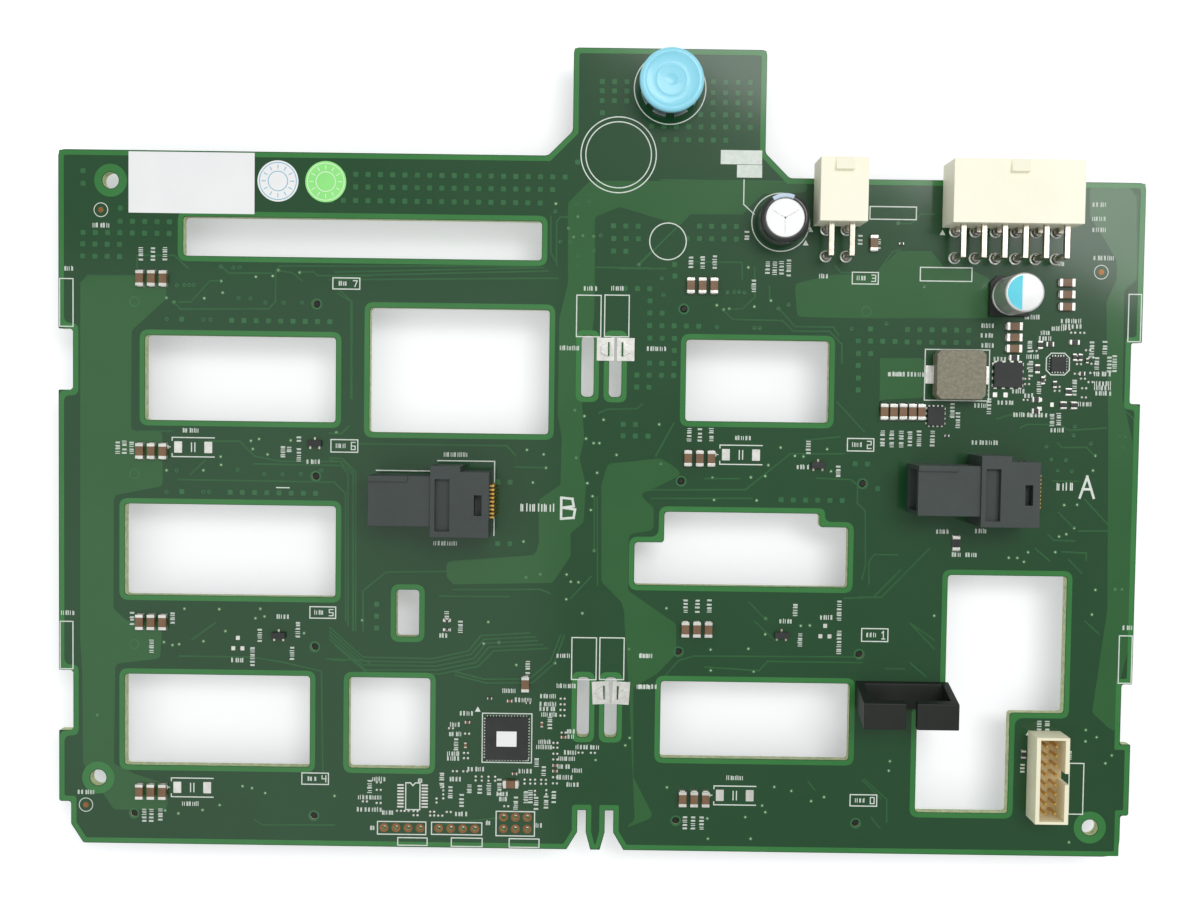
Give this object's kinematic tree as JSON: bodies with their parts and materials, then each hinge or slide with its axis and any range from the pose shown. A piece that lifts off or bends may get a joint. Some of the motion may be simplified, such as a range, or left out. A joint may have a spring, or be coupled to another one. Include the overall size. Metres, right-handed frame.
{
  "type": "drive backplane board",
  "caption": "Flat backplane board with drive receptacles on one side, cable connectors on the other, air vents, hook slots and a spring release plunger.",
  "frame": {"origin": "centre of the board's outline, on the plane that the drive receptacles rest on", "axes": "+Z out of the cable side of the board, +Y towards the tab with the release plunger, +X to the right as seen from the cable side"},
  "size_m": [0.2252, 0.1674, 0.0228],
  "materials": {
    "board_laminate": "satin green solder mask",
    "black_plastic": "satin",
    "ivory_plastic": "satin",
    "blue_plastic": "satin",
    "tin_contact": "bright tin",
    "gold_contact": "bright",
    "nickel_ferrule": "satin",
    "steel": "satin",
    "spring_steel": "satin",
    "can_aluminium": "satin",
    "cap_sleeve": "satin",
    "ferrite": "matt",
    "chip_epoxy": "matt",
    "ceramic": "satin",
    "label_white": "matt",
    "label_green": "matt"
  },
  "bodies": {
    "board": {"accessory_power_header_housing": "ivory_plastic", "accessory_power_header_pins": "tin_contact", "bay_capacitors": "ceramic", "bay_controller_chip": "chip_epoxy", "blank_label": "label_white", "bulk_capacitor": "cap_sleeve", "bulk_capacitor_leads": "tin_contact", "cable_clip": "black_plastic", "chip_sticker": "label_white", "circuit_board": "board_laminate", "data_connector_a_contacts": "tin_contact", "data_connector_a_housing": "black_plastic", "data_connector_b_contacts": "tin_contact", "data_connector_b_housing": "black_plastic", "drive_contacts_1": "gold_contact", "drive_contacts_2": "gold_contact", "drive_contacts_3": "gold_contact", "drive_contacts_4": "gold_contact", "drive_contacts_5": "gold_contact", "drive_contacts_6": "gold_contact", "drive_contacts_7": "gold_contact", "drive_contacts_8": "gold_contact", "drive_receptacle_1": "black_plastic", "drive_receptacle_2": "black_plastic", "drive_receptacle_3": "black_plastic", "drive_receptacle_4": "black_plastic", "drive_receptacle_5": "black_plastic", "drive_receptacle_6": "black_plastic", "drive_receptacle_7": "black_plastic", "drive_receptacle_8": "black_plastic", "filter_capacitor_base": "black_plastic", "filter_capacitor_can": "can_aluminium", "green_dot_label": "label_green", "inductor_core": "ferrite", "inductor_terminals": "tin_contact", "load_switch_chip": "chip_epoxy", "lower_contact_left": "tin_contact", "lower_contact_right": "tin_contact", "main_power_header_housing": "ivory_plastic", "main_power_header_pins": "tin_contact", "plunger_ferrule": "nickel_ferrule", "power_capacitors": "ceramic", "regulator_controller_chip": "chip_epoxy", "regulator_switch_chip": "chip_epoxy", "signal_header_housing": "ivory_plastic", "signal_header_pins": "gold_contact", "small_chips": "chip_epoxy", "transistor_bodies": "chip_epoxy", "transistor_leads": "tin_contact", "upper_contact_left": "tin_contact", "upper_contact_right": "tin_contact", "white_dot_label": "label_white", "plunger_spring": "spring_steel"},
    "plunger": {"plunger_knob": "blue_plastic", "plunger_pin": "steel"}
  },
  "joints": [
    {"name": "plunger_slide", "type": "slide", "parent": "board", "child": "plunger", "axis": [0, 0, 1], "range_m": [0, 0.0035], "stiffness_N_per_m": 400, "springref_m": -0.006, "deforming": ["plunger_spring"]}
  ]
}
